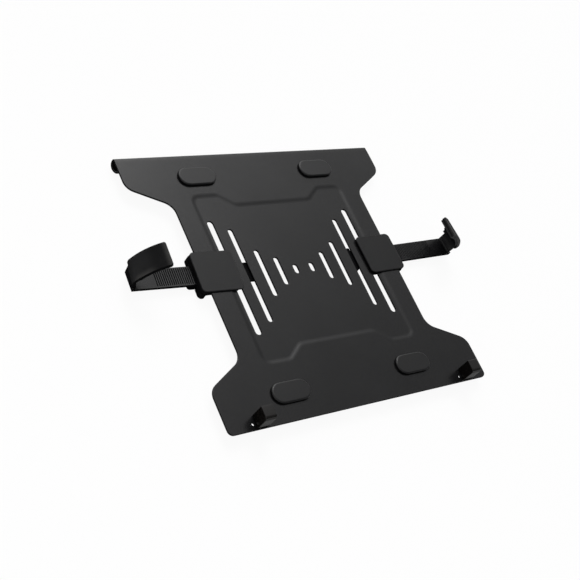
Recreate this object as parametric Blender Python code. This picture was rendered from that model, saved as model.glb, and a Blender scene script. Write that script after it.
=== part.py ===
"""Laptop tray mount: a pressed steel tray with two sliding clamps that grip a laptop by its sides.

X runs across the tray, Y from the front stops to the rolled rear lip, Z up.
The origin is on the pressed panel's top face, at the centre of the slot pattern.
"""
import math

import bmesh
import bpy
from mathutils import Matrix, Vector
from mathutils.geometry import distance_point_to_plane, normal

MM = 0.001

# Clearances
GAP = 0.3 * MM                    # left between two pieces that touch or slide on the real tray
CUT = 1.0 * MM                    # how far a cutter runs past the face it opens
ROOT = 0.4 * MM                   # how far a joined shape reaches into the body it grows from
FLAT = 0.001 * MM                 # how far a face's fourth corner may stand off the other three
BEYOND = 20 * MM                  # how far the tray's side cutters reach outside it

# Steel tray
TRAY_WIDTH = 292 * MM
WAIST_WIDTH = 214 * MM
FRONT_Y = -141.1 * MM
SHEET = 2.0 * MM
PANEL_DEPTH = 1.06 * MM           # how far the middle panel is pressed below the rim
FLARE_SIDE_Y = 99.6 * MM          # where the flare's slanted edge would meet the full width
FLARE_WAIST_Y = 78.1 * MM         # where it would meet the waist
FLARE_SIDE_RADIUS = 13 * MM
FLARE_WAIST_RADIUS = 14 * MM
FRONT_CORNER_RADIUS = 5 * MM

# Rolled lip along the rear edge
LIP_REAR_Y = 132.4 * MM
BASE_Z = -8.8 * MM                # underside of the lip and of both clamps, which the tray rests on
LIP_BEND_RADIUS = 3 * MM
LIP_ROLL_RADIUS = 5 * MM
LIP_RETURN_RADIUS = 13 * MM
LIP_ROLL_END = -100               # degrees round the roll where the flatter return begins
LIP_RETURN_END = -152             # degrees where the return stops, just under the tray

# Pressed panel
PANEL_HALF_X = 87 * MM
PANEL_EAR_Y = 87.5 * MM           # the panel's four corners reach further than its middle
PANEL_MIDDLE_Y = 75.2 * MM
PANEL_EAR_X = 58 * MM
PANEL_STEP_X = 42 * MM
PANEL_CORNER_RADIUS = 9 * MM
PANEL_STEP_RADIUS = 7 * MM
PANEL_WALL_RUN = 1.6 * MM         # how far the pressed wall slopes inward

# Slots, the outermost pair guiding the clamps
SLOT_FIRST_X = 9.2 * MM
SLOT_PITCH = 17.1 * MM
SLOT_HALF_LENGTHS = [4.8 * MM, 14.6 * MM, 24.3 * MM, 48.6 * MM, 58.9 * MM]
SLOT_WIDTH = 5.1 * MM
GUIDE_SLOT_WIDTH = 6.2 * MM

# Rubber pads under the laptop
PAD_LENGTH = 39.4 * MM
PAD_WIDTH = 19.3 * MM
PAD_HEIGHT = 3.0 * MM
PAD_BEVEL = 0.8 * MM
PAD_PLACES = {                    # stuck down by hand, so no two stand quite alike
    "rear_left_pad": (-70.8 * MM, 106.6 * MM),
    "rear_right_pad": (66.7 * MM, 107.7 * MM),
    "front_left_pad": (-73.7 * MM, -115.6 * MM),
    "front_right_pad": (66.1 * MM, -113.5 * MM),
}

# Front stops
STOP_X = 117.4 * MM
STOP_SHIFT = 4.3 * MM             # both stops stand to the same side of their mirrored places
STOP_WIDTH = 11.3 * MM
STOP_FRONT_Y = -140.3 * MM
STOP_REAR_Y = -128.1 * MM
STOP_TOP_Z = 17.5 * MM
STOP_BROW_RADIUS = 3.2 * MM       # rounding of the top's front edge
STOP_BEVEL = 0.5 * MM
STOP_HOLE_SHIFT = -3.8 * MM
STOP_HOLE_RADIUS = 1.3 * MM
STOP_HOLE_SETBACK = 5.4 * MM      # from the front edge to the hole's centre
STOP_SCREW_RADIUS = 1.5 * MM
STOP_SCREW_LENGTH = 9 * MM
STOP_SCREW_HEAD_RADIUS = 3.2 * MM
STOP_SCREW_HEAD_HEIGHT = 1.8 * MM

# Threaded rails for a 100 mm mounting plate
MOUNT_PITCH = 100 * MM
RAIL_WIDTH = 11 * MM
RAIL_OVERHANG = 4.5 * MM          # past the holes at each end
RAIL_THICKNESS = 4.2 * MM
RAIL_CORNER_RADIUS = 1.5 * MM
THREAD_RADIUS = 1.65 * MM
THREAD_DEPTH = 3.2 * MM

# Clamps: u runs outward from the guide slot's centre line, v along it
LEFT_CLAMP_Y = 5.7 * MM
RIGHT_CLAMP_Y = 4.0 * MM
LEFT_YAW = 2.8                    # degrees each clamp stands askew in its slot
RIGHT_YAW = 0.8
LEFT_REACH = 98.2 * MM            # from the slot's centre line to the arm's outer end
RIGHT_REACH = 110.1 * MM
CLAMP_INNER_U = -5.2 * MM
CLAMP_OUTER_U = 37.2 * MM
CLAMP_WIDTH = 40.3 * MM
CLAMP_CORNER_RADIUS = 4.5 * MM
COVER_TOP_Z = 2.9 * MM
COVER_BEVEL = 0.5 * MM
WAIST_CLEARANCE = 1.3 * MM        # lets a clamp stand askew beside the tray's edge
BASE_CORNER_RADIUS = 3.6 * MM
NECK_U = 32 * MM                  # where the base starts to narrow beneath the tray
NECK_STEP = 3.0 * MM
NECK_OUTER_RADIUS = 2.4 * MM
NECK_INNER_RADIUS = 5 * MM

# Arms and jaws, the strap ribbed above for grip and below for the lever's tooth
ARM_WIDTH = 18.5 * MM
ARM_TOP_Z = -2.3 * MM
ARM_THICKNESS = 3.2 * MM
ARM_LENGTH = 129.0 * MM
RIB_PITCH = 2.0 * MM
RIB_DEPTH = 0.5 * MM
RIB_FLANK = 0.35 * MM
RIB_MARGIN = 1.2 * MM             # smooth border along both edges of the strap
RIBS_STOP = 23 * MM               # smooth length beside the jaw
RIBS_START = 6 * MM               # smooth length at the inner end
ARM_HEAD_LENGTH = 5 * MM          # wider inner end that stops against the base
ARM_HEAD_WIDTH = 24.6 * MM
ARM_HEAD_STEP = 0.2 * MM          # how much thinner the head is than the strap on each face
ARM_HEAD_RADIUS = 1.5 * MM
JAW_THICKNESS = 3.2 * MM
JAW_WALL_TOP_Z = 9.4 * MM
JAW_WALL_FLARE = 2.6 * MM         # how far the wall leans outward at its top
JAW_SKEW = 0.12                   # how much further out the crease stands in front, for each unit of width
JAW_CHORD = 35.3 * MM
JAW_CHORD_ANGLE = 44.0            # degrees above level
JAW_BOW = 3.6 * MM
JAW_ROOT = 1.0 * MM               # how far the wall runs up inside the jaw's wider foot
JAW_STEP = 0.2 * MM               # how far each block of the wall stands back from the next one up
JAW_REAR_EXTRA = 3.4 * MM         # the jaw is wider than the arm, towards the rear only
JAW_FOOT_Z = 5.6 * MM             # where that wider part starts on the wall
JAW_NECK_DEPTH = 1.7 * MM         # how far the wall below it is drawn in at the front
JAW_NECK_REAR = 0.8 * MM          # how far the wall stands out past the strap at the rear
JAW_TIP_RADIUS = 1.9 * MM
JAW_FRONT_TIP_RADIUS = 0.5 * MM
JAW_HEEL_RADIUS = 0.8 * MM
JAW_PAD_THICKNESS = 1.7 * MM
JAW_PAD_MARGIN = 0.5 * MM
JAW_CREASE_RADIUS = 1.8 * MM      # inside, where the strap turns up into the wall
JAW_STRIPS = 6
JAW_PAD_START = 4.0 * MM          # bare length between the crease and the pad

# Screws that tie each cover to its base through the guide slot
BOSS_V = 13.2 * MM
BOSS_RADIUS = 2.2 * MM
BOSS_BOTTOM_Z = -5.0 * MM
SCREW_RADIUS = 1.1 * MM
SCREW_TIP_Z = -1.0 * MM
SCREW_HEAD_RADIUS = 2.5 * MM
SCREW_HEAD_HEIGHT = 1.3 * MM

# Release levers
LEVER_HALF_WIDTH = 10.6 * MM
LEVER_THICKNESS = 2.0 * MM
LEVER_TOP_Z = -6.5 * MM
LEVER_TAB = 7.3 * MM              # how far the finger tab stands out past the clamp
LEVER_TAB_RADIUS = 2.5 * MM
LEVER_INNER_U = 12 * MM
LEVER_PIVOT_U = 27 * MM
LEVER_THIN = 0.4 * MM             # taken off the inner end's underside, so that it can swing down
LEVER_THIN_U = 25.2 * MM
TRUNNION_RADIUS = 0.9 * MM
TRUNNION_LENGTH = 2.0 * MM
TRUNNION_Z = -7.3 * MM
TOOTH_LENGTH = 2.0 * MM
TOOTH_HALF_WIDTH = 7.5 * MM

# Worked out from the sizes above
RIM_TOP_Z = PANEL_DEPTH
RIM_BOTTOM_Z = RIM_TOP_Z - SHEET
PANEL_BOTTOM_Z = -SHEET
GUIDE_SLOT_X = SLOT_FIRST_X + SLOT_PITCH * (len(SLOT_HALF_LENGTHS) - 1)
COVER_BOTTOM_Z = RIM_TOP_Z + GAP
ARM_BOTTOM_Z = ARM_TOP_Z - ARM_THICKNESS
CHANNEL_FLOOR_Z = ARM_BOTTOM_Z - GAP
SKIRT_INNER_U = WAIST_WIDTH / 2 - GUIDE_SLOT_X + WAIST_CLEARANCE
SKIRT_BOTTOM_Z = ARM_TOP_Z + GAP
BASE_TOP_Z = SKIRT_BOTTOM_Z - GAP


# Outlines

def arc(centre, radius, start, end, steps):
    """Points along an arc, angles in degrees, both ends included."""
    points = []
    for i in range(steps + 1):
        angle = math.radians(start + (end - start) * i / steps)
        points.append((centre[0] + radius * math.cos(angle), centre[1] + radius * math.sin(angle)))
    return points


def rounded(corners, steps=6):
    """Closed outline through (x, y, radius) corners, with each corner rounded by its radius."""
    points = []
    for i, (x, y, radius) in enumerate(corners):
        corner = Vector((x, y))
        if radius <= 0:
            points.append((x, y))
            continue
        back = (Vector(corners[i - 1][:2]) - corner).normalized()
        ahead = (Vector(corners[(i + 1) % len(corners)][:2]) - corner).normalized()
        half = back.angle(ahead) / 2
        centre = corner + (back + ahead).normalized() * radius / math.sin(half)
        first = corner + back * radius / math.tan(half) - centre
        turn = (corner + ahead * radius / math.tan(half) - centre).angle_signed(first)
        for k in range(steps + 1):
            spoke = first.copy()
            spoke.rotate(Matrix.Rotation(turn * k / steps, 2))
            points.append(tuple(centre + spoke))
    return points


def box_outline(x0, x1, y0, y1, radius=0.0, steps=6):
    """Rectangle with all four corners rounded alike."""
    return rounded([(x0, y0, radius), (x1, y0, radius), (x1, y1, radius), (x0, y1, radius)], steps)


def stadium(x, y, length, width, axis, steps=8):
    """Long shape with two round ends, its length along X or Y."""
    radius = width / 2
    reach = length / 2 - radius
    if axis == "X":
        return arc((x + reach, y), radius, -90, 90, steps) + arc((x - reach, y), radius, 90, 270, steps)
    return arc((x, y + reach), radius, 0, 180, steps) + arc((x, y - reach), radius, 180, 360, steps)


def circle(x, y, radius, steps=16):
    """Closed circle as a polygon."""
    return arc((x, y), radius, 0, 360, steps)[:-1]


# Solids

def add_rings(bm, rings):
    """Closed solid through two or more loops of 3D points with the same count."""
    loops = [[bm.verts.new(p) for p in ring] for ring in rings]
    bm.faces.new(loops[0])
    bm.faces.new(loops[-1])
    for here, there in zip(loops, loops[1:]):
        for i in range(len(here)):
            j = (i + 1) % len(here)
            bm.faces.new((here[i], here[j], there[j], there[i]))


def add_turned(bm, place, profile, steps=16):
    """Upright turned solid through (radius, z) rings."""
    x, y = place
    add_rings(bm, [[(px, py, z) for px, py in circle(x, y, radius, steps)] for radius, z in profile])


def add_prism(bm, outline, low, high, axis="Z"):
    """Outline extruded along one axis; it lies in XY, in XZ for axis Y, or in YZ for axis X."""
    place = {
        "X": lambda p, d: (d, p[0], p[1]),
        "Y": lambda p, d: (p[0], d, p[1]),
        "Z": lambda p, d: (p[0], p[1], d),
    }[axis]
    add_rings(bm, [[place(p, low) for p in outline], [place(p, high) for p in outline]])


def material(name, colour, roughness, metallic=0.0):
    """Principled material, made once and shared by name."""
    found = bpy.data.materials.get(name)
    if found:
        return found
    made = bpy.data.materials.new(name)
    made.use_nodes = True
    shader = made.node_tree.nodes["Principled BSDF"]
    shader.inputs["Base Color"].default_value = (*colour, 1.0)
    shader.inputs["Roughness"].default_value = roughness
    shader.inputs["Metallic"].default_value = metallic
    made.diffuse_color = (*colour, 1.0)
    return made


def is_bent(face):
    """Whether a face with four corners isn't flat."""
    if len(face.verts) != 4:
        return False
    first, second, third, fourth = (vert.co for vert in face.verts)
    return abs(distance_point_to_plane(fourth, first, normal((first, second, third)))) > FLAT


def make_object(name, bm, parent=None, look=None, mirror=False):
    """Object from a bmesh whose faces are turned outward, mirrored across X for a left clamp."""
    bmesh.ops.triangulate(bm, faces=[face for face in bm.faces if is_bent(face)])
    if mirror:
        bmesh.ops.scale(bm, verts=bm.verts, vec=(-1, 1, 1))
    bmesh.ops.recalc_face_normals(bm, faces=bm.faces)
    mesh = bpy.data.meshes.new(name)
    bm.to_mesh(mesh)
    bm.free()
    made = bpy.data.objects.new(name, mesh)
    bpy.context.collection.objects.link(made)
    made.parent = parent
    if look:
        mesh.materials.append(look)
    return made


def shape(target, bm, operation, mirror=False):
    """Join a shape to the target or cut it away, with a Boolean against a hidden helper."""
    name = target.name + "_" + operation.lower() + str(len(target.modifiers))
    helper = make_object(name, bm, parent=target.parent, mirror=mirror)
    helper.hide_render = True
    helper.display_type = "WIRE"
    modifier = target.modifiers.new(operation, "BOOLEAN")
    modifier.operation = operation
    modifier.solver = "EXACT"
    modifier.object = helper


def bevel(target, width, segments=2, angle=50):
    """Round the edges sharper than an angle."""
    modifier = target.modifiers.new("Bevel", "BEVEL")
    modifier.width = width
    modifier.segments = segments
    modifier.limit_method = "ANGLE"
    modifier.angle_limit = math.radians(angle)


def make_empty(name, location, parent=None, turn=0.0):
    """Empty that carries a group of pieces."""
    made = bpy.data.objects.new(name, None)
    made.empty_display_size = 0.02
    bpy.context.collection.objects.link(made)
    made.parent = parent
    made.location = location
    made.rotation_euler = (0, 0, math.radians(turn))
    return made


# Steel tray

def lip_profile():
    """Outer edge of the rear lip in (y, z), from the flat top round the roll to the return's end."""
    bend_centre = (LIP_REAR_Y - LIP_BEND_RADIUS, RIM_TOP_Z - LIP_BEND_RADIUS)
    roll_centre = (LIP_REAR_Y - LIP_ROLL_RADIUS, BASE_Z + LIP_ROLL_RADIUS)
    shift = LIP_RETURN_RADIUS - LIP_ROLL_RADIUS
    end = math.radians(LIP_ROLL_END)
    return_centre = (roll_centre[0] - shift * math.cos(end), roll_centre[1] - shift * math.sin(end))
    bends = [
        (bend_centre, LIP_BEND_RADIUS, 90, 0, 5),
        (roll_centre, LIP_ROLL_RADIUS, 0, LIP_ROLL_END, 8),
        (return_centre, LIP_RETURN_RADIUS, LIP_ROLL_END, LIP_RETURN_END, 6),
    ]
    outer = []
    inner = []
    for i, (centre, radius, start, finish, steps) in enumerate(bends):
        first = 1 if i == 2 else 0
        outer += arc(centre, radius, start, finish, steps)[first:]
        inner += arc(centre, radius - SHEET, start, finish, steps)[first:]
    return outer, inner


def side_cutter(side):
    """What is cut away outside the tray's edge on one side, with the waist and both flares."""
    half = TRAY_WIDTH / 2
    waist = WAIST_WIDTH / 2
    beyond = half + BEYOND
    corner_x = half - FRONT_CORNER_RADIUS
    corner_y = FRONT_Y + FRONT_CORNER_RADIUS
    start, finish = (-90, 0) if side > 0 else (270, 180)
    outline = [
        (side * beyond, FRONT_Y - BEYOND),
        (side * corner_x, FRONT_Y - BEYOND),
    ]
    outline += arc((side * corner_x, corner_y), FRONT_CORNER_RADIUS, start, finish, 6)
    flare = rounded([
        (side * half, corner_y, 0),
        (side * half, -FLARE_SIDE_Y, FLARE_SIDE_RADIUS),
        (side * waist, -FLARE_WAIST_Y, FLARE_WAIST_RADIUS),
        (side * waist, FLARE_WAIST_Y, FLARE_WAIST_RADIUS),
        (side * half, FLARE_SIDE_Y, FLARE_SIDE_RADIUS),
        (side * half, LIP_REAR_Y + BEYOND, 0),
    ])
    outline += flare[1:]
    outline.append((side * beyond, LIP_REAR_Y + BEYOND))
    return outline


def panel_outline(inset):
    """Outline of the pressed panel, drawn in by a distance."""
    x = PANEL_HALF_X - inset
    ear = PANEL_EAR_Y - inset
    middle = PANEL_MIDDLE_Y - inset
    outward = PANEL_CORNER_RADIUS - inset
    inward = PANEL_STEP_RADIUS + inset
    upper = [
        (x, ear, outward),
        (PANEL_EAR_X, ear, outward),
        (PANEL_STEP_X, middle, inward),
        (-PANEL_STEP_X, middle, inward),
        (-PANEL_EAR_X, ear, outward),
        (-x, ear, outward),
    ]
    lower = [(-px, -py, radius) for px, py, radius in upper]
    return rounded(upper + lower)


def panel_rings(face, top, bottom):
    """Two rings of the panel's sloping wall between heights, where it meets the rim at a face."""
    slope = PANEL_WALL_RUN / PANEL_DEPTH
    return [[(x, y, z) for x, y in panel_outline((face - z) * slope)] for z in (top, bottom)]


def slot_places():
    """Centre, half length and width of every slot."""
    places = []
    for side in (-1, 1):
        for i, half_length in enumerate(SLOT_HALF_LENGTHS):
            guide = i == len(SLOT_HALF_LENGTHS) - 1
            width = GUIDE_SLOT_WIDTH if guide else SLOT_WIDTH
            places.append((side * (SLOT_FIRST_X + SLOT_PITCH * i), half_length, width))
    return places


def stop_centres():
    """Centre line in X of each front stop."""
    return {"left": -STOP_X + STOP_SHIFT, "right": STOP_X + STOP_SHIFT}


def build_tray(look):
    """Pressed and rolled steel tray."""
    outer, inner = lip_profile()
    profile = [(FRONT_Y, RIM_TOP_Z)] + outer + inner[::-1] + [(FRONT_Y, RIM_BOTTOM_Z)]
    bm = bmesh.new()
    half = TRAY_WIDTH / 2 + CUT
    add_prism(bm, profile, -half, half, "X")
    tray = make_object("tray_plate", bm, look=look)

    bm = bmesh.new()
    for side in (-1, 1):
        add_prism(bm, side_cutter(side), BASE_Z - CUT, RIM_TOP_Z + CUT)
    shape(tray, bm, "DIFFERENCE")

    bm = bmesh.new()
    add_rings(bm, panel_rings(RIM_TOP_Z, RIM_TOP_Z + CUT, 0.0))
    shape(tray, bm, "DIFFERENCE")
    bm = bmesh.new()
    add_rings(bm, panel_rings(RIM_BOTTOM_Z, RIM_BOTTOM_Z + ROOT, PANEL_BOTTOM_Z))
    shape(tray, bm, "UNION")

    bm = bmesh.new()
    low = PANEL_BOTTOM_Z - CUT
    high = RIM_TOP_Z + CUT
    for x, half_length, width in slot_places():
        add_prism(bm, stadium(x, 0, 2 * half_length, width, "Y"), low, high)
    for side in (-1, 1):
        x = side * STOP_X + STOP_HOLE_SHIFT
        add_prism(bm, circle(x, FRONT_Y + STOP_HOLE_SETBACK, STOP_HOLE_RADIUS), low, high)
    for x in stop_centres().values():
        y = (STOP_FRONT_Y + STOP_REAR_Y) / 2
        add_prism(bm, circle(x, y, STOP_SCREW_RADIUS + GAP), low, high)
    shape(tray, bm, "DIFFERENCE")
    return tray


def build_pads(look):
    """Four stadium pads with a chamfered rim."""
    levels = [(0.0, 0.0), (0.0, PAD_HEIGHT - PAD_BEVEL), (PAD_BEVEL, PAD_HEIGHT)]
    for name, (x, y) in PAD_PLACES.items():
        bm = bmesh.new()
        add_rings(bm, [[(px, py, z) for px, py in
                        stadium(0, 0, PAD_LENGTH - 2 * inset, PAD_WIDTH - 2 * inset, "X")]
                       for inset, z in levels])
        pad = make_object(name, bm, look=look)
        pad.location = (x, y, RIM_TOP_Z + GAP)


def build_stops(look, screw_look):
    """Two moulded stops at the front edge, each with a screw from below."""
    foot = RIM_TOP_Z + GAP
    brow_centre = (STOP_FRONT_Y + STOP_BROW_RADIUS, STOP_TOP_Z - STOP_BROW_RADIUS)
    profile = [(STOP_FRONT_Y, foot)]
    profile += arc(brow_centre, STOP_BROW_RADIUS, 180, 90, 5)
    profile += [(STOP_REAR_Y, STOP_TOP_Z), (STOP_REAR_Y, foot)]
    y = (STOP_FRONT_Y + STOP_REAR_Y) / 2
    for side, x in stop_centres().items():
        bm = bmesh.new()
        add_prism(bm, profile, x - STOP_WIDTH / 2, x + STOP_WIDTH / 2, "X")
        stop = make_object(side + "_front_stop", bm, look=look)
        bevel(stop, STOP_BEVEL, angle=30)
        bm = bmesh.new()
        head_top = RIM_BOTTOM_Z - GAP
        tip = head_top + STOP_SCREW_LENGTH
        add_prism(bm, circle(x, y, STOP_SCREW_RADIUS + GAP), foot - CUT, tip + GAP)
        shape(stop, bm, "DIFFERENCE")
        bm = bmesh.new()
        add_screw(bm, (x, y), head_top, STOP_SCREW_HEAD_RADIUS, STOP_SCREW_HEAD_HEIGHT,
                  STOP_SCREW_RADIUS, tip)
        make_object(side + "_stop_screw", bm, look=screw_look)


def add_screw(bm, place, head_top, head_radius, head_height, radius, tip):
    """Screw standing on its head: a round head below and a plain shank up to its tip."""
    add_turned(bm, place, [
        (head_radius, head_top - head_height),
        (head_radius, head_top),
        (radius, head_top),
        (radius, tip),
    ])


def build_rails(look):
    """Two threaded rails under the panel that take a 100 mm mounting plate."""
    half = MOUNT_PITCH / 2 + RAIL_OVERHANG
    top = PANEL_BOTTOM_Z - GAP
    bottom = top - RAIL_THICKNESS
    for name, y in (("rear_mount_rail", MOUNT_PITCH / 2), ("front_mount_rail", -MOUNT_PITCH / 2)):
        bm = bmesh.new()
        outline = box_outline(-half, half, y - RAIL_WIDTH / 2, y + RAIL_WIDTH / 2,
                              RAIL_CORNER_RADIUS, 3)
        add_prism(bm, outline, bottom, top)
        rail = make_object(name, bm, look=look)
        bm = bmesh.new()
        for x in (-MOUNT_PITCH / 2, MOUNT_PITCH / 2):
            add_prism(bm, circle(x, y, THREAD_RADIUS, 12), bottom - CUT, bottom + THREAD_DEPTH)
        shape(rail, bm, "DIFFERENCE")


# Clamps

def build_cover(side, frame, mirror, look):
    """Cover over the tray's edge: a thin top, an outer skirt and two bosses through the slot."""
    half = CLAMP_WIDTH / 2
    bm = bmesh.new()
    outline = box_outline(CLAMP_INNER_U, CLAMP_OUTER_U, -half, half, CLAMP_CORNER_RADIUS)
    add_prism(bm, outline, SKIRT_BOTTOM_Z, COVER_TOP_Z)
    cover = make_object(side + "_clamp_cover", bm, frame, look, mirror)
    bevel(cover, COVER_BEVEL, angle=60)

    bm = bmesh.new()
    add_prism(bm, box_outline(CLAMP_INNER_U - CUT, SKIRT_INNER_U, -half - CUT, half + CUT),
              SKIRT_BOTTOM_Z - CUT, COVER_BOTTOM_Z)
    shape(cover, bm, "DIFFERENCE", mirror)
    bm = bmesh.new()
    for v in (-BOSS_V, BOSS_V):
        add_prism(bm, circle(0, v, BOSS_RADIUS), BOSS_BOTTOM_Z, COVER_BOTTOM_Z + ROOT)
    shape(cover, bm, "UNION", mirror)
    bm = bmesh.new()
    for v in (-BOSS_V, BOSS_V):
        add_prism(bm, circle(0, v, SCREW_RADIUS + GAP, 12), BOSS_BOTTOM_Z - CUT, SCREW_TIP_Z + GAP)
    shape(cover, bm, "DIFFERENCE", mirror)


def base_outline():
    """The base's outline: two round lobes outside the tray, and a narrower part beneath it."""
    half = CLAMP_WIDTH / 2
    rear = [
        (CLAMP_OUTER_U, half, BASE_CORNER_RADIUS),
        (NECK_U, half, NECK_OUTER_RADIUS),
        (NECK_U - NECK_STEP, half - NECK_STEP, NECK_INNER_RADIUS),
        (CLAMP_INNER_U, half - NECK_STEP, CLAMP_CORNER_RADIUS),
    ]
    front = [(u, -v, radius) for u, v, radius in reversed(rear)]
    return rounded(rear + front)


def build_base(side, frame, mirror, look):
    """Base under the tray: the arm's channel, the lever's window and sockets, and screw holes."""
    bm = bmesh.new()
    add_prism(bm, base_outline(), BASE_Z, BASE_TOP_Z)
    base = make_object(side + "_clamp_base", bm, frame, look, mirror)

    channel = ARM_WIDTH / 2 + GAP
    bm = bmesh.new()
    add_prism(bm, box_outline(CLAMP_INNER_U - CUT, CLAMP_OUTER_U + CUT, -channel, channel),
              CHANNEL_FLOOR_Z, BASE_TOP_Z + CUT)
    shape(base, bm, "DIFFERENCE", mirror)

    window = LEVER_HALF_WIDTH + GAP
    bm = bmesh.new()
    add_prism(bm, box_outline(LEVER_INNER_U - GAP, CLAMP_OUTER_U + CUT, -window, window),
              BASE_Z - CUT, CHANNEL_FLOOR_Z + GAP)
    shape(base, bm, "DIFFERENCE", mirror)

    bm = bmesh.new()
    for sign in (-1, 1):
        ends = sorted((sign * (window - CUT), sign * (LEVER_HALF_WIDTH + TRUNNION_LENGTH + GAP)))
        socket = circle(LEVER_PIVOT_U, TRUNNION_Z, TRUNNION_RADIUS + GAP, 12)
        add_prism(bm, socket, ends[0], ends[1], "Y")
    shape(base, bm, "DIFFERENCE", mirror)

    bm = bmesh.new()
    seat = BASE_Z + SCREW_HEAD_HEIGHT + 2 * GAP
    for v in (-BOSS_V, BOSS_V):
        add_turned(bm, (0, v), [
            (SCREW_HEAD_RADIUS + GAP, BASE_Z - CUT),
            (SCREW_HEAD_RADIUS + GAP, seat),
            (SCREW_RADIUS + GAP, seat),
            (SCREW_RADIUS + GAP, BOSS_BOTTOM_Z - GAP),
            (BOSS_RADIUS + GAP, BOSS_BOTTOM_Z - GAP),
            (BOSS_RADIUS + GAP, BASE_TOP_Z + CUT),
        ])
    shape(base, bm, "DIFFERENCE", mirror)


def build_clamp_screws(side, frame, mirror, look):
    """The two screws from below that tie base and cover together."""
    head_top = BASE_Z + GAP + SCREW_HEAD_HEIGHT
    for place, v in (("front", -BOSS_V), ("rear", BOSS_V)):
        bm = bmesh.new()
        add_screw(bm, (0, v), head_top, SCREW_HEAD_RADIUS, SCREW_HEAD_HEIGHT, SCREW_RADIUS, SCREW_TIP_Z)
        make_object(side + "_clamp_screw_" + place, bm, frame, look, mirror)


def jaw_arc():
    """Centre, radius, first angle and length of the jaw's outer face, for an arm that ends at u = 0."""
    root = Vector((JAW_WALL_FLARE, JAW_WALL_TOP_Z))
    lean = math.radians(180 - JAW_CHORD_ANGLE)
    chord = Vector((math.cos(lean), math.sin(lean))) * JAW_CHORD
    radius = JAW_CHORD ** 2 / (8 * JAW_BOW) + JAW_BOW / 2
    inward = Vector((-chord.y, chord.x)).normalized()
    centre = root + chord / 2 + inward * (radius - JAW_BOW)
    spoke = root - centre
    length = 2 * radius * math.asin(JAW_CHORD / 2 / radius)
    return centre, radius, math.atan2(spoke.y, spoke.x), length


def strips(front, rear):
    """Places across the jaw, which is slightly twisted and so is made in strips."""
    return [front + (rear - front) * i / JAW_STRIPS for i in range(JAW_STRIPS + 1)]


def corner_drop(radius, back):
    """How far a round corner has drawn an edge in, at a distance back from its end."""
    into = max(radius - back, 0.0)
    return radius - math.sqrt(radius ** 2 - into ** 2)


def jaw_rings(reach, first, last, inset, thickness, front, rear):
    """Rings along the jaw between two lengths from its crease, with round corners at the last."""
    centre, radius, start, length = jaw_arc()
    straight = last - JAW_TIP_RADIUS
    places = [first + (straight - first) * k / 8 for k in range(9)]
    places += [straight + JAW_TIP_RADIUS * math.sin(math.radians(angle)) for angle in (20, 40, 60, 75, 90)]
    rings = []
    for along in places:
        angle = start + along / radius
        spoke = Vector((math.cos(angle), math.sin(angle)))
        outer = centre + spoke * (radius - inset)
        inner = outer - spoke * thickness
        low = front + corner_drop(JAW_FRONT_TIP_RADIUS, last - along)
        high = rear - corner_drop(JAW_TIP_RADIUS, last - along)
        skew = JAW_SKEW * (1 - along / length)
        across = strips(low, high)
        rings.append([(reach + outer.x - skew * v, v, outer.y) for v in across]
                     + [(reach + inner.x - skew * v, v, inner.y) for v in reversed(across)])
    return rings


def wall_u(z, v):
    """How far out the wall's outer face stands at a height, at a place across the arm."""
    heel = ARM_BOTTOM_Z + JAW_HEEL_RADIUS
    return (JAW_WALL_FLARE - JAW_SKEW * v) * (z - heel) / (JAW_WALL_TOP_Z - heel)


def foot_ring(reach, z, front, rear, step=0.0):
    """Level ring round the wall at a height, drawn in by a step."""
    across = strips(front, rear)
    inner = JAW_THICKNESS - step
    return ([(reach + wall_u(z, v) - step, v, z) for v in across]
            + [(reach + wall_u(z, v) - inner, v, z) for v in reversed(across)])


def arm_profile(v):
    """Side view in (u, z) of the strap and the wall at its outer end, which is at u = 0."""
    top = JAW_FOOT_Z + JAW_ROOT
    top_u = wall_u(top, v) - JAW_STEP
    profile = [
        (-ARM_LENGTH, ARM_BOTTOM_Z),
        (-ARM_LENGTH, ARM_TOP_Z),
    ]
    crease = (-JAW_THICKNESS - JAW_CREASE_RADIUS, ARM_TOP_Z + JAW_CREASE_RADIUS)
    profile += arc(crease, JAW_CREASE_RADIUS, 270, 360, 3)
    profile += [(top_u - JAW_THICKNESS + 2 * JAW_STEP, top), (top_u, top)]
    profile += arc((-JAW_HEEL_RADIUS, ARM_BOTTOM_Z + JAW_HEEL_RADIUS), JAW_HEEL_RADIUS, 0, -90, 4)
    return profile


def add_grooves(bm, reach, face, floor, half_width):
    """Row of grooves across the strap, cut from one face down to a floor, that leave the ribs."""
    outside = face + math.copysign(CUT, face - floor)
    for i in range(int((ARM_LENGTH - RIBS_STOP - RIBS_START) / RIB_PITCH)):
        u = reach - ARM_LENGTH + RIBS_START + i * RIB_PITCH
        far = u + RIB_PITCH / 2
        outline = [
            (u, outside),
            (u, face),
            (u + RIB_FLANK, floor),
            (far, floor),
            (far + RIB_FLANK, face),
            (far + RIB_FLANK, outside),
        ]
        add_prism(bm, outline, -half_width, half_width, "Y")


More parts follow.
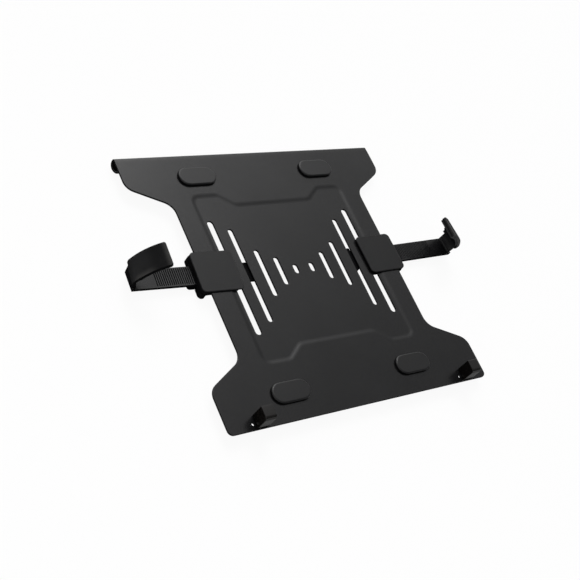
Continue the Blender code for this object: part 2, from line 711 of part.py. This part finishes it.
def build_arm(side, frame, mirror, reach, look, pad_look):
    """Ribbed strap with the leaning jaw at its outer end, and the jaw's rubber pad."""
    half = ARM_WIDTH / 2
    rear = half + JAW_REAR_EXTRA
    bm = bmesh.new()
    add_rings(bm, [[(u + reach, v, z) for u, z in arm_profile(v)] for v in strips(-half, half)])
    arm = make_object(side + "_arm", bm, frame, look, mirror)
    bm = bmesh.new()
    head = box_outline(reach - ARM_LENGTH, reach - ARM_LENGTH + ARM_HEAD_LENGTH,
                       -ARM_HEAD_WIDTH / 2, ARM_HEAD_WIDTH / 2, ARM_HEAD_RADIUS, 3)
    add_prism(bm, head, ARM_BOTTOM_Z + ARM_HEAD_STEP, ARM_TOP_Z - ARM_HEAD_STEP)
    shape(arm, bm, "UNION", mirror)
    bm = bmesh.new()
    neck = box_outline(reach - 2 * JAW_THICKNESS, reach + 2 * JAW_THICKNESS,
                       ARM_TOP_Z + JAW_STEP, JAW_FOOT_Z + JAW_ROOT + CUT)
    add_prism(bm, neck, -half - CUT, -half + JAW_NECK_DEPTH, "Y")
    shape(arm, bm, "DIFFERENCE", mirror)
    bm = bmesh.new()
    add_rings(bm, [foot_ring(reach, z, half - ROOT, half + JAW_NECK_REAR, 2 * JAW_STEP)
                   for z in (ARM_BOTTOM_Z + JAW_HEEL_RADIUS, JAW_FOOT_Z + ROOT)])
    shape(arm, bm, "UNION", mirror)

    length = jaw_arc()[3]
    bm = bmesh.new()
    add_rings(bm, [foot_ring(reach, JAW_FOOT_Z, -half, rear)]
              + jaw_rings(reach, 0.0, length, 0.0, JAW_THICKNESS, -half, rear))
    shape(arm, bm, "UNION", mirror)

    bm = bmesh.new()
    add_grooves(bm, reach, ARM_TOP_Z, ARM_TOP_Z - RIB_DEPTH, half - RIB_MARGIN)
    add_grooves(bm, reach, ARM_BOTTOM_Z, ARM_BOTTOM_Z + RIB_DEPTH, half - RIB_MARGIN)
    shape(arm, bm, "DIFFERENCE", mirror)

    bm = bmesh.new()
    add_rings(bm, jaw_rings(reach, JAW_PAD_START, length - JAW_PAD_MARGIN, JAW_THICKNESS + GAP,
                            JAW_PAD_THICKNESS, -half + JAW_PAD_MARGIN, rear - JAW_PAD_MARGIN))
    make_object(side + "_jaw_pad", bm, frame, pad_look, mirror)


def build_lever(side, frame, mirror, look):
    """Release lever under the arm, which turns on two trunnions and has a finger tab outside."""
    pivot = make_empty(side + "_lever_pivot", (0, 0, 0), frame)
    sign = -1 if mirror else 1
    pivot.location = (sign * LEVER_PIVOT_U, 0, TRUNNION_Z)
    tip = CLAMP_OUTER_U + LEVER_TAB - LEVER_PIVOT_U
    inner = LEVER_INNER_U - LEVER_PIVOT_U
    top = LEVER_TOP_Z - TRUNNION_Z
    bottom = top - LEVER_THICKNESS
    bm = bmesh.new()
    outline = rounded([
        (inner, -LEVER_HALF_WIDTH, 0),
        (tip, -LEVER_HALF_WIDTH, LEVER_TAB_RADIUS),
        (tip, LEVER_HALF_WIDTH, LEVER_TAB_RADIUS),
        (inner, LEVER_HALF_WIDTH, 0),
    ])
    add_prism(bm, outline, bottom, top)
    lever = make_object(side + "_release_lever", bm, pivot, look, mirror)

    bm = bmesh.new()
    add_prism(bm, box_outline(inner, inner + TOOTH_LENGTH, -TOOTH_HALF_WIDTH, TOOTH_HALF_WIDTH),
              top - ROOT, CHANNEL_FLOOR_Z - TRUNNION_Z)
    add_prism(bm, circle(0, 0, TRUNNION_RADIUS, 12), -LEVER_HALF_WIDTH - TRUNNION_LENGTH,
              LEVER_HALF_WIDTH + TRUNNION_LENGTH, "Y")
    shape(lever, bm, "UNION", mirror)
    bm = bmesh.new()
    add_prism(bm, box_outline(inner - CUT, LEVER_THIN_U - LEVER_PIVOT_U, -LEVER_HALF_WIDTH - CUT,
                              LEVER_HALF_WIDTH + CUT), bottom - CUT, bottom + LEVER_THIN)
    shape(lever, bm, "DIFFERENCE", mirror)


def build_clamp(side, looks):
    """One clamp with its arm, in its own frame on the guide slot."""
    mirror = side == "left"
    sign = -1 if mirror else 1
    y = LEFT_CLAMP_Y if mirror else RIGHT_CLAMP_Y
    yaw = -LEFT_YAW if mirror else RIGHT_YAW
    reach = LEFT_REACH if mirror else RIGHT_REACH
    frame = make_empty(side + "_clamp_frame", (sign * GUIDE_SLOT_X, y, 0), turn=yaw)
    build_cover(side, frame, mirror, looks["cover"])
    build_base(side, frame, mirror, looks["cover"])
    build_clamp_screws(side, frame, mirror, looks["screw"])
    build_arm(side, frame, mirror, reach, looks["arm"], looks["rubber"])
    build_lever(side, frame, mirror, looks["arm"])


def smooth(angle):
    """Shade round faces smooth, and keep edges sharper than the angle."""
    for made in bpy.data.objects:
        if made.type == "MESH":
            made.data.shade_smooth()
            made.data.set_sharp_from_angle(angle=math.radians(angle))


def main():
    for old in list(bpy.data.objects):
        bpy.data.objects.remove(old, do_unlink=True)
    looks = {
        "steel": material("black_powder_coat", (0.035, 0.035, 0.037), 0.45, 0.2),
        "cover": material("black_moulding", (0.03, 0.03, 0.032), 0.5),
        "arm": material("black_nylon", (0.022, 0.022, 0.024), 0.55),
        "rubber": material("black_rubber", (0.028, 0.028, 0.03), 0.7),
        "screw": material("dark_zinc", (0.18, 0.18, 0.19), 0.35, 0.9),
    }
    build_tray(looks["steel"])
    build_pads(looks["rubber"])
    build_stops(looks["rubber"], looks["screw"])
    build_rails(looks["steel"])
    for side in ("left", "right"):
        build_clamp(side, looks)
    smooth(35)


main()
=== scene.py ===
"""Laptop tray mount: a pressed steel tray on which two sliding clamps grip a laptop by its sides."""
import math

import bmesh
import bpy
from mathutils import Matrix, Vector


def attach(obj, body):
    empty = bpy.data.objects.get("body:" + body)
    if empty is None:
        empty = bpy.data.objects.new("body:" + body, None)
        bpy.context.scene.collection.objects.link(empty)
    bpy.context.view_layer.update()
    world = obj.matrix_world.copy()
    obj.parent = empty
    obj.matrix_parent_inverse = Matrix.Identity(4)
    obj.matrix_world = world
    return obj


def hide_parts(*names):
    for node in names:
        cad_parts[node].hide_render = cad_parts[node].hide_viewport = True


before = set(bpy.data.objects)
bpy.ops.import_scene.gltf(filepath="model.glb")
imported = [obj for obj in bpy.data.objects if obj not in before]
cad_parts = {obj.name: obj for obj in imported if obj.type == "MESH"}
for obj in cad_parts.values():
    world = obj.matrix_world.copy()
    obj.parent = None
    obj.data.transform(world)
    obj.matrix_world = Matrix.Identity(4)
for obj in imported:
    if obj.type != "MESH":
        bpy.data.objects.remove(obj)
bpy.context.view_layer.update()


# The studio: a white floor under the tray and a camera at the photograph's angle. The camera looks
# down on the tray from its front left corner, turned so that the rolled lip rises to the left.

CAMERA_PLACE = (-0.58866, -0.36737, 0.67733)
CAMERA_RIGHT = Vector((0.79617, -0.39472, 0.45860))
CAMERA_UP = Vector((0.11460, 0.84257, 0.52626))
CAMERA_LENS = 65.86               # on a sensor 36 mm wide
CAMERA_CLIP = 0.01
FLOOR_RADIUS = 8
FLOOR_Z = -0.0092                 # just under the rolled lip and the clamps, on which the tray stands
FLOOR_WHITE = (0.92, 0.92, 0.92, 1)
FLOOR_GLOW = 0.93                 # share of the floor that the camera sees as plain white


class Socket:
    """One output of a shader node; arithmetic on it adds Math nodes."""

    def __init__(self, tree, output):
        self.tree = tree
        self.output = output

    def math(self, operation, first, second):
        return self.tree.node("ShaderNodeMath", {"operation": operation}, {0: first, 1: second})

    def __add__(self, other):
        return self.math("ADD", self, other)

    def __radd__(self, other):
        return self.math("ADD", other, self)

    def __sub__(self, other):
        return self.math("SUBTRACT", self, other)

    def __rsub__(self, other):
        return self.math("SUBTRACT", other, self)

    def __mul__(self, other):
        return self.math("MULTIPLY", self, other)

    def __rmul__(self, other):
        return self.math("MULTIPLY", other, self)


class Tree:
    """A node tree, and the method that adds each of its nodes."""

    def __init__(self, tree):
        self.tree = tree

    def feed(self, socket, value):
        if isinstance(value, Socket):
            self.tree.links.new(value.output, socket)
        else:
            socket.default_value = value

    def node(self, kind, settings=None, sockets=None, out=0):
        """Adds a node: its settings first, then the values or links of its sockets."""
        made = self.tree.nodes.new(kind)
        for name, value in (settings or {}).items():
            setattr(made, name, value)
        for name, value in (sockets or {}).items():
            self.feed(made.inputs[name], value)
        return Socket(self, made.outputs[out])

    def viewed(self):
        """1 for a ray that comes from the camera, from a glossy surface or through a clear one."""
        seen = self.node("ShaderNodeLightPath", out="Is Camera Ray")
        reflected = self.node("ShaderNodeLightPath", out="Is Glossy Ray")
        through = self.node("ShaderNodeLightPath", out="Is Transmission Ray")
        return seen + reflected + through


camera_data = bpy.data.cameras.new("camera")
camera_data.sensor_width = 36
camera_data.lens = CAMERA_LENS
camera_data.clip_start = CAMERA_CLIP
camera = bpy.data.objects.new("camera", camera_data)
camera_back = CAMERA_RIGHT.cross(CAMERA_UP)
turn = Matrix((CAMERA_RIGHT, CAMERA_UP, camera_back)).transposed().to_4x4()
camera.matrix_world = Matrix.Translation(CAMERA_PLACE) @ turn
bpy.context.collection.objects.link(camera)
bpy.context.scene.camera = camera
bpy.context.scene.view_settings.view_transform = "Standard"

bm = bmesh.new()
bmesh.ops.create_circle(bm, cap_ends=True, segments=96, radius=FLOOR_RADIUS)
bmesh.ops.translate(bm, verts=bm.verts, vec=(0, 0, FLOOR_Z))
floor_mesh = bpy.data.meshes.new("floor")
bm.to_mesh(floor_mesh)
bm.free()
floor = bpy.data.objects.new("floor", floor_mesh)
bpy.context.collection.objects.link(floor)
floor_material = bpy.data.materials.new("floor_white")
floor_material.use_nodes = True
floor_tree = Tree(floor_material.node_tree)
matt = floor_tree.tree.nodes["Principled BSDF"]
floor_tree.feed(matt.inputs["Base Color"], FLOOR_WHITE)
floor_tree.feed(matt.inputs["Roughness"], 0.9)
floor_tree.feed(matt.inputs["Specular IOR Level"], 0.0)
glow = floor_tree.node("ShaderNodeEmission", None, {"Color": (1, 1, 1, 1), "Strength": 1.0})
white = floor_tree.node("ShaderNodeMixShader", None, {
    0: floor_tree.viewed() * FLOOR_GLOW,
    1: Socket(floor_tree, matt.outputs[0]),
    2: glow,
})
floor_tree.feed(floor_tree.tree.nodes["Material Output"].inputs["Surface"], white)
floor.data.materials.append(floor_material)


# The room: dim but for white walls near the floor and two windows, a bright one behind the tray's
# rear edge and a faint one at its front left. Their light falls off smoothly all round them. A soft
# lamp on the left fills the sides that the windows leave dark.

ROOM_LIGHT = 0.06
WALL_TOP = 0.3                    # sine of the height at which the white walls end
WALL_FOOT = 0.1                   # sine of the height up to which they are fully white
REAR_WINDOW_WAY = (0.22, 0.68, 0.70)
REAR_WINDOW_LIGHT = 17.3
REAR_WINDOW_WIDTH = 9.5
FRONT_WINDOW_WAY = (-0.40, -0.60, 0.70)
FRONT_WINDOW_LIGHT = 0.8
FRONT_WINDOW_WIDTH = 22
WINDOW_FALL = 1.3                 # how steeply a window's light falls far from its middle
FILL_PLACE = Vector((-1.45, -0.39, 1.17))
FILL_SIZE = 0.9
FILL_LIGHT = 1.2

world = bpy.data.worlds.new("studio")
world.use_nodes = True
bpy.context.scene.world = world
sky = Tree(world.node_tree)
direction = sky.node("ShaderNodeTexCoord", out="Generated")
height = sky.node("ShaderNodeSeparateXYZ", None, {0: direction}, out="Z")
wall = sky.node("ShaderNodeMapRange", {"interpolation_type": "SMOOTHSTEP"},
                {"Value": height, "From Min": WALL_TOP, "From Max": WALL_FOOT})


def window(way, light, width):
    """Light from one window: its direction, the strength at its middle and its width in degrees."""
    facing = sky.node("ShaderNodeVectorMath", {"operation": "DOT_PRODUCT"},
                      {0: direction, 1: tuple(Vector(way).normalized())}, out="Value")
    away = sky.node("ShaderNodeMath", {"operation": "ARCCOSINE"}, {0: facing})
    spread = away * (1 / math.radians(width))
    fall = sky.node("ShaderNodeMath", {"operation": "POWER"}, {0: 1 + spread * spread, 1: -WINDOW_FALL})
    return light * fall


room = (ROOM_LIGHT + window(REAR_WINDOW_WAY, REAR_WINDOW_LIGHT, REAR_WINDOW_WIDTH)
        + window(FRONT_WINDOW_WAY, FRONT_WINDOW_LIGHT, FRONT_WINDOW_WIDTH))
background = sky.tree.nodes["Background"]
sky.feed(background.inputs["Color"], (1, 1, 1, 1))
sky.feed(background.inputs["Strength"], room + sky.viewed() * wall)

fill_data = bpy.data.lights.new("fill_light", "AREA")
fill_data.size = FILL_SIZE
fill_data.energy = FILL_LIGHT * math.pi * FILL_SIZE * FILL_SIZE
fill = bpy.data.objects.new("fill_light", fill_data)
bpy.context.collection.objects.link(fill)
aim = (-FILL_PLACE).to_track_quat("-Z", "Y").to_matrix().to_4x4()
fill.matrix_world = Matrix.Translation(FILL_PLACE) @ aim


# The tray: 2 mm steel sheet, pressed, slotted and rolled along its rear edge, then powder coated in
# satin black. Press and die leave every edge slightly round.

MERGE = 0.000002                  # how close a solid's loose corners lie to each other
FLAT_ANGLE = 0.5                  # degrees up to which neighbouring faces count as one
SHARP_ANGLE = 38                  # degrees from which an edge is shaded sharp
PRESS_SPREAD = 0.0016             # how much further the pressed wall runs into the panel
PRESS_ROUNDING = 0.0013           # the pressed wall's bends are softer than the sheet's cut edges
PANEL_REACH = 0.1                 # how far the panel and its border reach to the front and rear
SHEET_ROUNDING = 0.0003
BEND_START = 0.1262               # where the sheet begins to dip towards the rolled lip
BEND_CLEAR = 0.001                # where the dip is complete, behind its start
BEND_DIP = 0.00018
COAT_LEVELS = 1.3                 # how strongly the coat that fills the pressed line levels its shading
NEAR = 0.00001                    # heights that differ by less are the same
WALL_STEEPEST = 0.5               # upward part of the direction of the pressed wall's faces
WALL_FLATTEST = 0.97
NEARLY_LEVEL = 0.9                # the same part, on faces whose shading is levelled
COAT_IOR = 1.4
POWDER_BLACKS = (0.005, 0.005, 0.0055, 1), (0.008, 0.008, 0.0085, 1)


def copy_of(node):
    """A CAD node's mesh with its loose triangles merged and its flat faces joined."""
    bm = bmesh.new()
    bm.from_mesh(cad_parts[node].data)
    bmesh.ops.remove_doubles(bm, verts=bm.verts, dist=MERGE)
    bmesh.ops.dissolve_limit(bm, angle_limit=math.radians(FLAT_ANGLE), verts=bm.verts, edges=bm.edges)
    return bm


def round_edges(bm, width, segments, least, chosen=None):
    """Rounds the edges sharper than an angle in degrees, or those of them that a test picks."""
    edges = []
    for edge in bm.edges:
        if len(edge.link_faces) != 2 or abs(edge.calc_face_angle()) < math.radians(least):
            continue
        if chosen is None or chosen(edge):
            edges.append(edge)
    bmesh.ops.bevel(bm, geom=edges, offset=width, offset_type="OFFSET", segments=segments,
                    profile=0.5, affect="EDGES", clamp_overlap=False, material=-1)


def piece(name, bm, finish, body, node):
    """Makes a bmesh the visible piece that stands for a CAD node."""
    mesh = bpy.data.meshes.new(name)
    bm.to_mesh(mesh)
    bm.free()
    mesh.shade_smooth()
    mesh.set_sharp_from_angle(angle=math.radians(SHARP_ANGLE))
    made = bpy.data.objects.new(name, mesh)
    bpy.context.collection.objects.link(made)
    mesh.materials.append(finish)
    even = made.modifiers.new("even_normals", "WEIGHTED_NORMAL")
    even.keep_sharp = True
    even.weight = 100
    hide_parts(node)
    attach(made, body)
    return made


class Finish(Tree):
    """A material with its Principled shader, and the patterns that several finishes share."""

    def __init__(self, name, **sockets):
        self.material = bpy.data.materials.new(name)
        self.material.use_nodes = True
        super().__init__(self.material.node_tree)
        self.shader = self.tree.nodes["Principled BSDF"]
        for socket, value in sockets.items():
            self.set(socket.replace("_", " "), value)

    def set(self, socket, value):
        self.feed(self.shader.inputs[socket], value)

    def noise(self, scale, detail):
        """Noise between 0 and 1 on the piece's own coordinates, with a scale in waves per metre."""
        place = self.node("ShaderNodeTexCoord", out="Object")
        return self.node("ShaderNodeTexNoise", None,
                         {"Vector": place, "Scale": scale, "Detail": detail, "Roughness": 0.55})

    def part(self, output, axis):
        """One axis of the piece's own coordinates or of the face's direction."""
        vector = self.node("ShaderNodeTexCoord", out=output)
        return self.node("ShaderNodeSeparateXYZ", None, {0: vector}, out=axis)

    def rise(self, value, start, end):
        """Rises smoothly from 0 to 1 as a value goes from start to end."""
        return self.node("ShaderNodeMapRange", {"interpolation_type": "SMOOTHSTEP"},
                         {"Value": value, "From Min": start, "From Max": end})

    def facing(self, low, high, axis="Z"):
        """Rises from 0 to 1 as the face's direction along an axis goes from low to high."""
        return self.rise(self.part("Normal", axis), low, high)

    def along(self, axis, start, end):
        """Rises from 0 to 1 between two places on one of the piece's axes, in metres."""
        return self.rise(self.part("Object", axis), start, end)

    def blend(self, factor, first, second):
        """Mix of two colours."""
        return self.node("ShaderNodeMix", {"data_type": "RGBA"}, {0: factor, 6: first, 7: second}, out=2)

    def bump(self, height, distance, strength):
        self.set("Normal", self.node("ShaderNodeBump", None, {
            "Height": height, "Distance": distance, "Strength": strength}))


def coated(name, blur):
    """A black finish whose shine all lies in a thin clear coat, which blurs what it mirrors."""
    return Finish(name, Specular_IOR_Level=0.0, Coat_Roughness=blur, Coat_IOR=COAT_IOR)


powder = coated("black_powder_coat", 0.25)
grain = powder.noise(1500, 2)
ripple = powder.noise(320, 2)
cloud = powder.noise(14, 3)
powder.set("Base Color", powder.blend(cloud, *POWDER_BLACKS))
powder.set("Roughness", 0.52 + 0.12 * (grain - 0.5))
powder.set("Coat Weight", (powder.facing(0.05, 0.45) + powder.facing(-0.05, -0.45)) * (
    0.9 + 0.2 * (cloud - 0.5) + 0.2 * (ripple - 0.5) + 0.3 * (grain - 0.5)))
powder.bump(grain * 0.5 + ripple * 0.5, 0.00005, 0.6)


def on_pressed_border(edge):
    """Picks the edges of the pressed wall's upper side."""
    upper = all(face.normal.z > WALL_STEEPEST for face in edge.link_faces)
    return upper and all(abs(vert.co.y) < PANEL_REACH for vert in edge.verts)


bm = copy_of("tray_plate")
bmesh.ops.bisect_plane(bm, geom=bm.verts[:] + bm.edges[:] + bm.faces[:], dist=0.000001,
                       plane_co=(0, BEND_START, 0), plane_no=(0, 1, 0))
rim_top = max(vert.co.z for vert in bm.verts)
for vert in bm.verts:
    if vert.co.z > rim_top - NEAR and vert.co.y > BEND_START + BEND_CLEAR:
        vert.co.z -= BEND_DIP
    inward = Vector((0, 0, 0))
    for face in vert.link_faces:
        if WALL_STEEPEST < face.normal.z < WALL_FLATTEST:
            inward += Vector((face.normal.x, face.normal.y, 0))
    if abs(vert.co.z) < NEAR and inward.length > 0:
        vert.co += inward.normalized() * PRESS_SPREAD
bm.normal_update()
round_edges(bm, PRESS_ROUNDING, 4, 8, on_pressed_border)
round_edges(bm, SHEET_ROUNDING, 3, 60)
tray = piece("tray_sheet", bm, powder.material, "tray", "tray_plate")

# On the panel and near it, the directions that the shading uses lean towards straight up.
shaded = tray.evaluated_get(bpy.context.evaluated_depsgraph_get()).data
directions = [Vector(corner.vector) for corner in shaded.corner_normals]
for loop, direction in zip(tray.data.loops, directions):
    if direction.z > NEARLY_LEVEL and abs(tray.data.vertices[loop.vertex_index].co.y) < PANEL_REACH:
        direction.z += COAT_LEVELS
        direction.normalize()
tray.modifiers.clear()
tray.data.normals_split_custom_set(directions)


# The pads: four stadium pads of black rubber, moulded with a soft rim. They are glued to the tray's
# corners, and carry the laptop clear of the steel.

RUBBER_BLACKS = (0.006, 0.006, 0.0065, 1), (0.010, 0.010, 0.0105, 1)
PAD_PRESSED = 0.0006              # how far use has pressed the pads down
PAD_MIDDLE = 0.003                # a height between the pads' feet and their tops
PAD_ROUNDING = 0.0006

rubber = coated("pad_rubber", 0.36)
grain = rubber.noise(1900, 3)
cloud = rubber.noise(30, 2)
rubber.set("Base Color", rubber.blend(cloud, *RUBBER_BLACKS))
rubber.set("Roughness", 0.62 + 0.15 * (grain - 0.5))
rubber.set("Coat Weight", rubber.facing(0.05, 0.45) * (0.85 + 0.2 * (grain - 0.5)))
rubber.bump(grain, 0.00003, 0.5)


def on_pad_top(edge):
    """Picks the edges of a pad's rim."""
    return all(vert.co.z > PAD_MIDDLE for vert in edge.verts)


for name in ("rear_left_pad", "rear_right_pad", "front_left_pad", "front_right_pad"):
    bm = copy_of(name)
    top = [vert for vert in bm.verts if vert.co.z > PAD_MIDDLE]
    bmesh.ops.translate(bm, verts=top, vec=(0, 0, -PAD_PRESSED))
    round_edges(bm, PAD_ROUNDING, 4, 25, on_pad_top)
    piece(name + "_rubber", bm, rubber.material, "tray", name)


# The stops: two moulded blocks that keep the laptop from sliding off the front edge, each held by a
# screw from below. Their faces are smooth from the mould, the tops most of all.

STOP_BLACKS = (0.0045, 0.0040, 0.0036, 1), (0.008, 0.0070, 0.0062, 1)

block = coated("stop_rubber", 0.22)
grain = block.noise(1900, 3)
cloud = block.noise(60, 2)
block.set("Base Color", block.blend(cloud, *STOP_BLACKS))
block.set("Roughness", 0.6 + 0.15 * (grain - 0.5))
block.set("Coat Weight", 0.28 + 0.72 * block.facing(0.3, 0.8) + 0.1 * (grain - 0.5))
block.bump(grain, 0.00002, 0.5)

for side in ("left", "right"):
    name = side + "_front_stop"
    bm = copy_of(name)
    piece(name + "_block", bm, block.material, "tray", name)


# The mount rails: two flat steel bars, each with two threaded holes for the screws of a mounting
# plate. They are welded under the panel, and powder coated with the tray.

RAIL_ROUNDING = 0.0004

for name in ("rear_mount_rail", "front_mount_rail"):
    bm = copy_of(name)
    round_edges(bm, RAIL_ROUNDING, 2, 60)
    piece(name + "_bar", bm, powder.material, "tray", name)


# The clamps: on each side a cover over the tray and a base under it, moulded in black nylon with a
# fine dull texture. Two screws tie them together through the outermost slot, along which they slide.

MOULDING_BLACKS = (0.005, 0.005, 0.0055, 1), (0.009, 0.009, 0.0095, 1)
SKIRT_DARK_Z = -0.003             # the clamps stay dull below this height
SKIRT_SHINY_Z = 0.0005            # and shine fully above this one
COVER_ROUNDING = 0.0004

moulding = coated("clamp_moulding", 0.38)
grain = moulding.noise(2300, 2)
cloud = moulding.noise(40, 2)
moulding.set("Base Color", moulding.blend(cloud, *MOULDING_BLACKS))
moulding.set("Roughness", 0.55 + 0.15 * (grain - 0.5))
upper = moulding.facing(0.05, 0.45) * moulding.along("Z", SKIRT_DARK_Z, SKIRT_SHINY_Z)
shiny = upper + moulding.facing(-0.6, -0.9)
moulding.set("Coat Weight", shiny * (0.68 + 0.2 * (grain - 0.5)))
moulding.bump(grain, 0.00004, 0.5)

for side in ("left", "right"):
    for part in ("cover", "base"):
        name = side + "_clamp_" + part
        bm = copy_of(name)
        if part == "cover":
            round_edges(bm, COVER_ROUNDING, 3, 40)
        piece(name + "_shell", bm, moulding.material, side + "_carriage", name)


# The arms: a strap of black nylon on each side, ribbed above for grip and below as a ratchet, that
# ends in a jaw lined with rubber. It slides through the clamp, and a sprung lever under it holds it
# by the ribs. The jaws carry painted light: a lighter black, and a painted grey highlight along their
# front edges and tips; below the tips and on the left jaw's front faces they carry painted shade.

TAIL_END = 0.072                  # nearer the middle the strap never leaves the clamp, and stays dull
TAIL_FADE = 0.01
RIB_FLOOR = -0.0028               # the height of the grooves between the ribs
GROOVE_DULL = 0.0002              # the grooves stay dull this far above their floor
JAW_START = 0.002                 # the painted highlight along the jaws' front edges grows between these two heights
JAW_FULL = 0.005
JAW_TIP = 0.0338
HIGHLIGHT_START = 0.009               # the jaws bulge outward from about here, where hands rub them
HIGHLIGHT_FULL = 0.016
TIP_SHADE_START = 0.012            # below the tip the jaws take painted shade between these two depths
TIP_SHADE_FULL = 0.005
TIP_HIGHLIGHT = 0.0022               # how far below the tip a painted highlight lines it
JAWS_SLANT = 0.0136               # the jaws' front edges lie on one slanting line across the tray
JAWS_FRONT = -0.0012
HIGHLIGHT_WIDTH = 0.0055                   # width of the painted highlight along the jaws' front edges
ONE_SIDE = 0.05                   # how far from the middle the left jaw's painted shade, or the right side's extra coat, is complete
LEVER_ROUNDING = 0.0003
STRAP_BLACKS = (0.004, 0.004, 0.0045, 1), (0.008, 0.008, 0.0085, 1)
# Painted light: the jaws' blacks are lighter than the strap's, in place of the shine that the jaws' coat
# leaves out.
JAW_PAINTED_LIGHT_BLACKS = (0.013, 0.013, 0.0135, 1), (0.021, 0.021, 0.0215, 1)
PAINTED_HIGHLIGHT_GREY = (0.042, 0.041, 0.040, 1)

nylon = coated("arm_nylon", 0.26)
grain = nylon.noise(1700, 2)
cloud = nylon.noise(50, 2)
x = nylon.part("Object", "X")
y = nylon.part("Object", "Y")
from_middle = nylon.node("ShaderNodeMath", {"operation": "ABSOLUTE"}, {0: x})
handled = nylon.rise(from_middle, TAIL_END, TAIL_END + TAIL_FADE)
jaw = nylon.along("Z", JAW_START, JAW_FULL)
ribs = nylon.along("Z", RIB_FLOOR + GROOVE_DULL, RIB_FLOOR + 2 * GROOVE_DULL)
front_edge = nylon.rise(y + JAWS_SLANT * x, JAWS_FRONT + HIGHLIGHT_WIDTH, JAWS_FRONT)
forward = nylon.facing(-0.5, -0.8, "Y")
# Painted shade: the left jaw's front faces keep the strap's black and get no painted highlight.
left_front_painted_shade = forward * nylon.along("X", 0, -ONE_SIDE)
polished = forward * nylon.along("X", 0, ONE_SIDE) * jaw
# Painted shade below the jaws' tips: their lighter black fades back towards the strap's.
tip_painted_shade = nylon.along("Z", JAW_TIP - TIP_SHADE_START, JAW_TIP - TIP_SHADE_FULL)
tip = nylon.along("Z", JAW_TIP - TIP_HIGHLIGHT, JAW_TIP)
highlight_height = nylon.along("Z", HIGHLIGHT_START, HIGHLIGHT_FULL) * (1 - tip_painted_shade)
# Painted highlight: the jaws' front edges at mid height, and their tips, lighten towards grey.
painted_highlight = jaw * (1 - left_front_painted_shade) * (front_edge * highlight_height + tip) * (0.5 + cloud)
strap_black = nylon.blend(cloud, *STRAP_BLACKS)
jaw_black_painted_light = nylon.blend(cloud, *JAW_PAINTED_LIGHT_BLACKS)
black = nylon.blend(jaw * (1 - left_front_painted_shade) * (1 - 0.7 * tip_painted_shade), strap_black, jaw_black_painted_light)
nylon.set("Base Color", nylon.blend(painted_highlight, black, PAINTED_HIGHLIGHT_GREY))
nylon.set("Roughness", 0.5 + 0.15 * (grain - 0.5))
upper = nylon.facing(0.05, 0.45) * ribs * handled * (1 - 0.85 * jaw)
shiny = upper + nylon.facing(-0.6, -0.9) + 0.2 * polished
nylon.set("Coat Weight", shiny * (0.83 + 0.1 * (grain - 0.5)))
nylon.bump(grain, 0.00003, 0.5)

lining = coated("jaw_rubber", 0.36)
grain = lining.noise(1900, 3)
cloud = lining.noise(30, 2)
lining.set("Base Color", lining.blend(cloud, *RUBBER_BLACKS))
lining.set("Roughness", 0.62 + 0.15 * (grain - 0.5))
polished = lining.facing(-0.5, -0.8, "Y") * lining.along("X", 0, ONE_SIDE)
lining.set("Coat Weight", lining.facing(0.05, 0.45) * (0.85 + 0.2 * (grain - 0.5)) + 0.22 * polished)
lining.bump(grain, 0.00003, 0.5)

for side in ("left", "right"):
    bm = copy_of(side + "_arm")
    piece(side + "_arm_strap", bm, nylon.material, side + "_arm", side + "_arm")
    bm = copy_of(side + "_jaw_pad")
    piece(side + "_jaw_lining", bm, lining.material, side + "_arm", side + "_jaw_pad")
    bm = copy_of(side + "_release_lever")
    round_edges(bm, LEVER_ROUNDING, 2, 50)
    piece(side + "_lever_plate", bm, nylon.material, side + "_lever", side + "_release_lever")


# The screws: steel, plated in dark zinc, with a six-lobed recess pressed into each head. All of them
# are driven from below, one into each stop, and two through each clamp's base into its cover.

RECESS_RADIUS = 0.0013
RECESS_LOBES = 0.16               # how far the lobes stand out, as a share of the radius
RECESS_DEPTH = 0.0011
RECESS_TAPER = 0.00005
ZINC_GREYS = (0.13, 0.13, 0.14, 1), (0.22, 0.22, 0.23, 1)

zinc = Finish("dark_zinc", Metallic=0.9)
grain = zinc.noise(3000, 2)
cloud = zinc.noise(400, 2)
zinc.set("Base Color", zinc.blend(cloud, *ZINC_GREYS))
zinc.set("Roughness", 0.35 + 0.2 * (grain - 0.5))


def low_and_wide(face):
    """Orders a screw's faces by height, and those at one height from large to small."""
    return round(face.calc_center_median().z, 6), -face.calc_area()


for side in ("left", "right"):
    carriage = side + "_carriage"
    for name, body in ((side + "_stop_screw", "tray"), (side + "_clamp_screw_front", carriage),
                       (side + "_clamp_screw_rear", carriage)):
        bm = copy_of(name)
        head = min(bm.faces, key=low_and_wide)
        middle = head.calc_center_median()
        radius = max((vert.co - middle).length for vert in head.verts)
        bmesh.ops.inset_individual(bm, faces=[head], thickness=radius - RECESS_RADIUS)
        for vert in head.verts:
            spoke = vert.co - middle
            lobes = 1 + RECESS_LOBES * math.cos(6 * math.atan2(spoke.y, spoke.x))
            vert.co = middle + spoke.normalized() * RECESS_RADIUS * lobes
        bmesh.ops.inset_individual(bm, faces=[head], thickness=RECESS_TAPER, depth=-RECESS_DEPTH)
        piece(name + "_turned", bm, zinc.material, body, name)
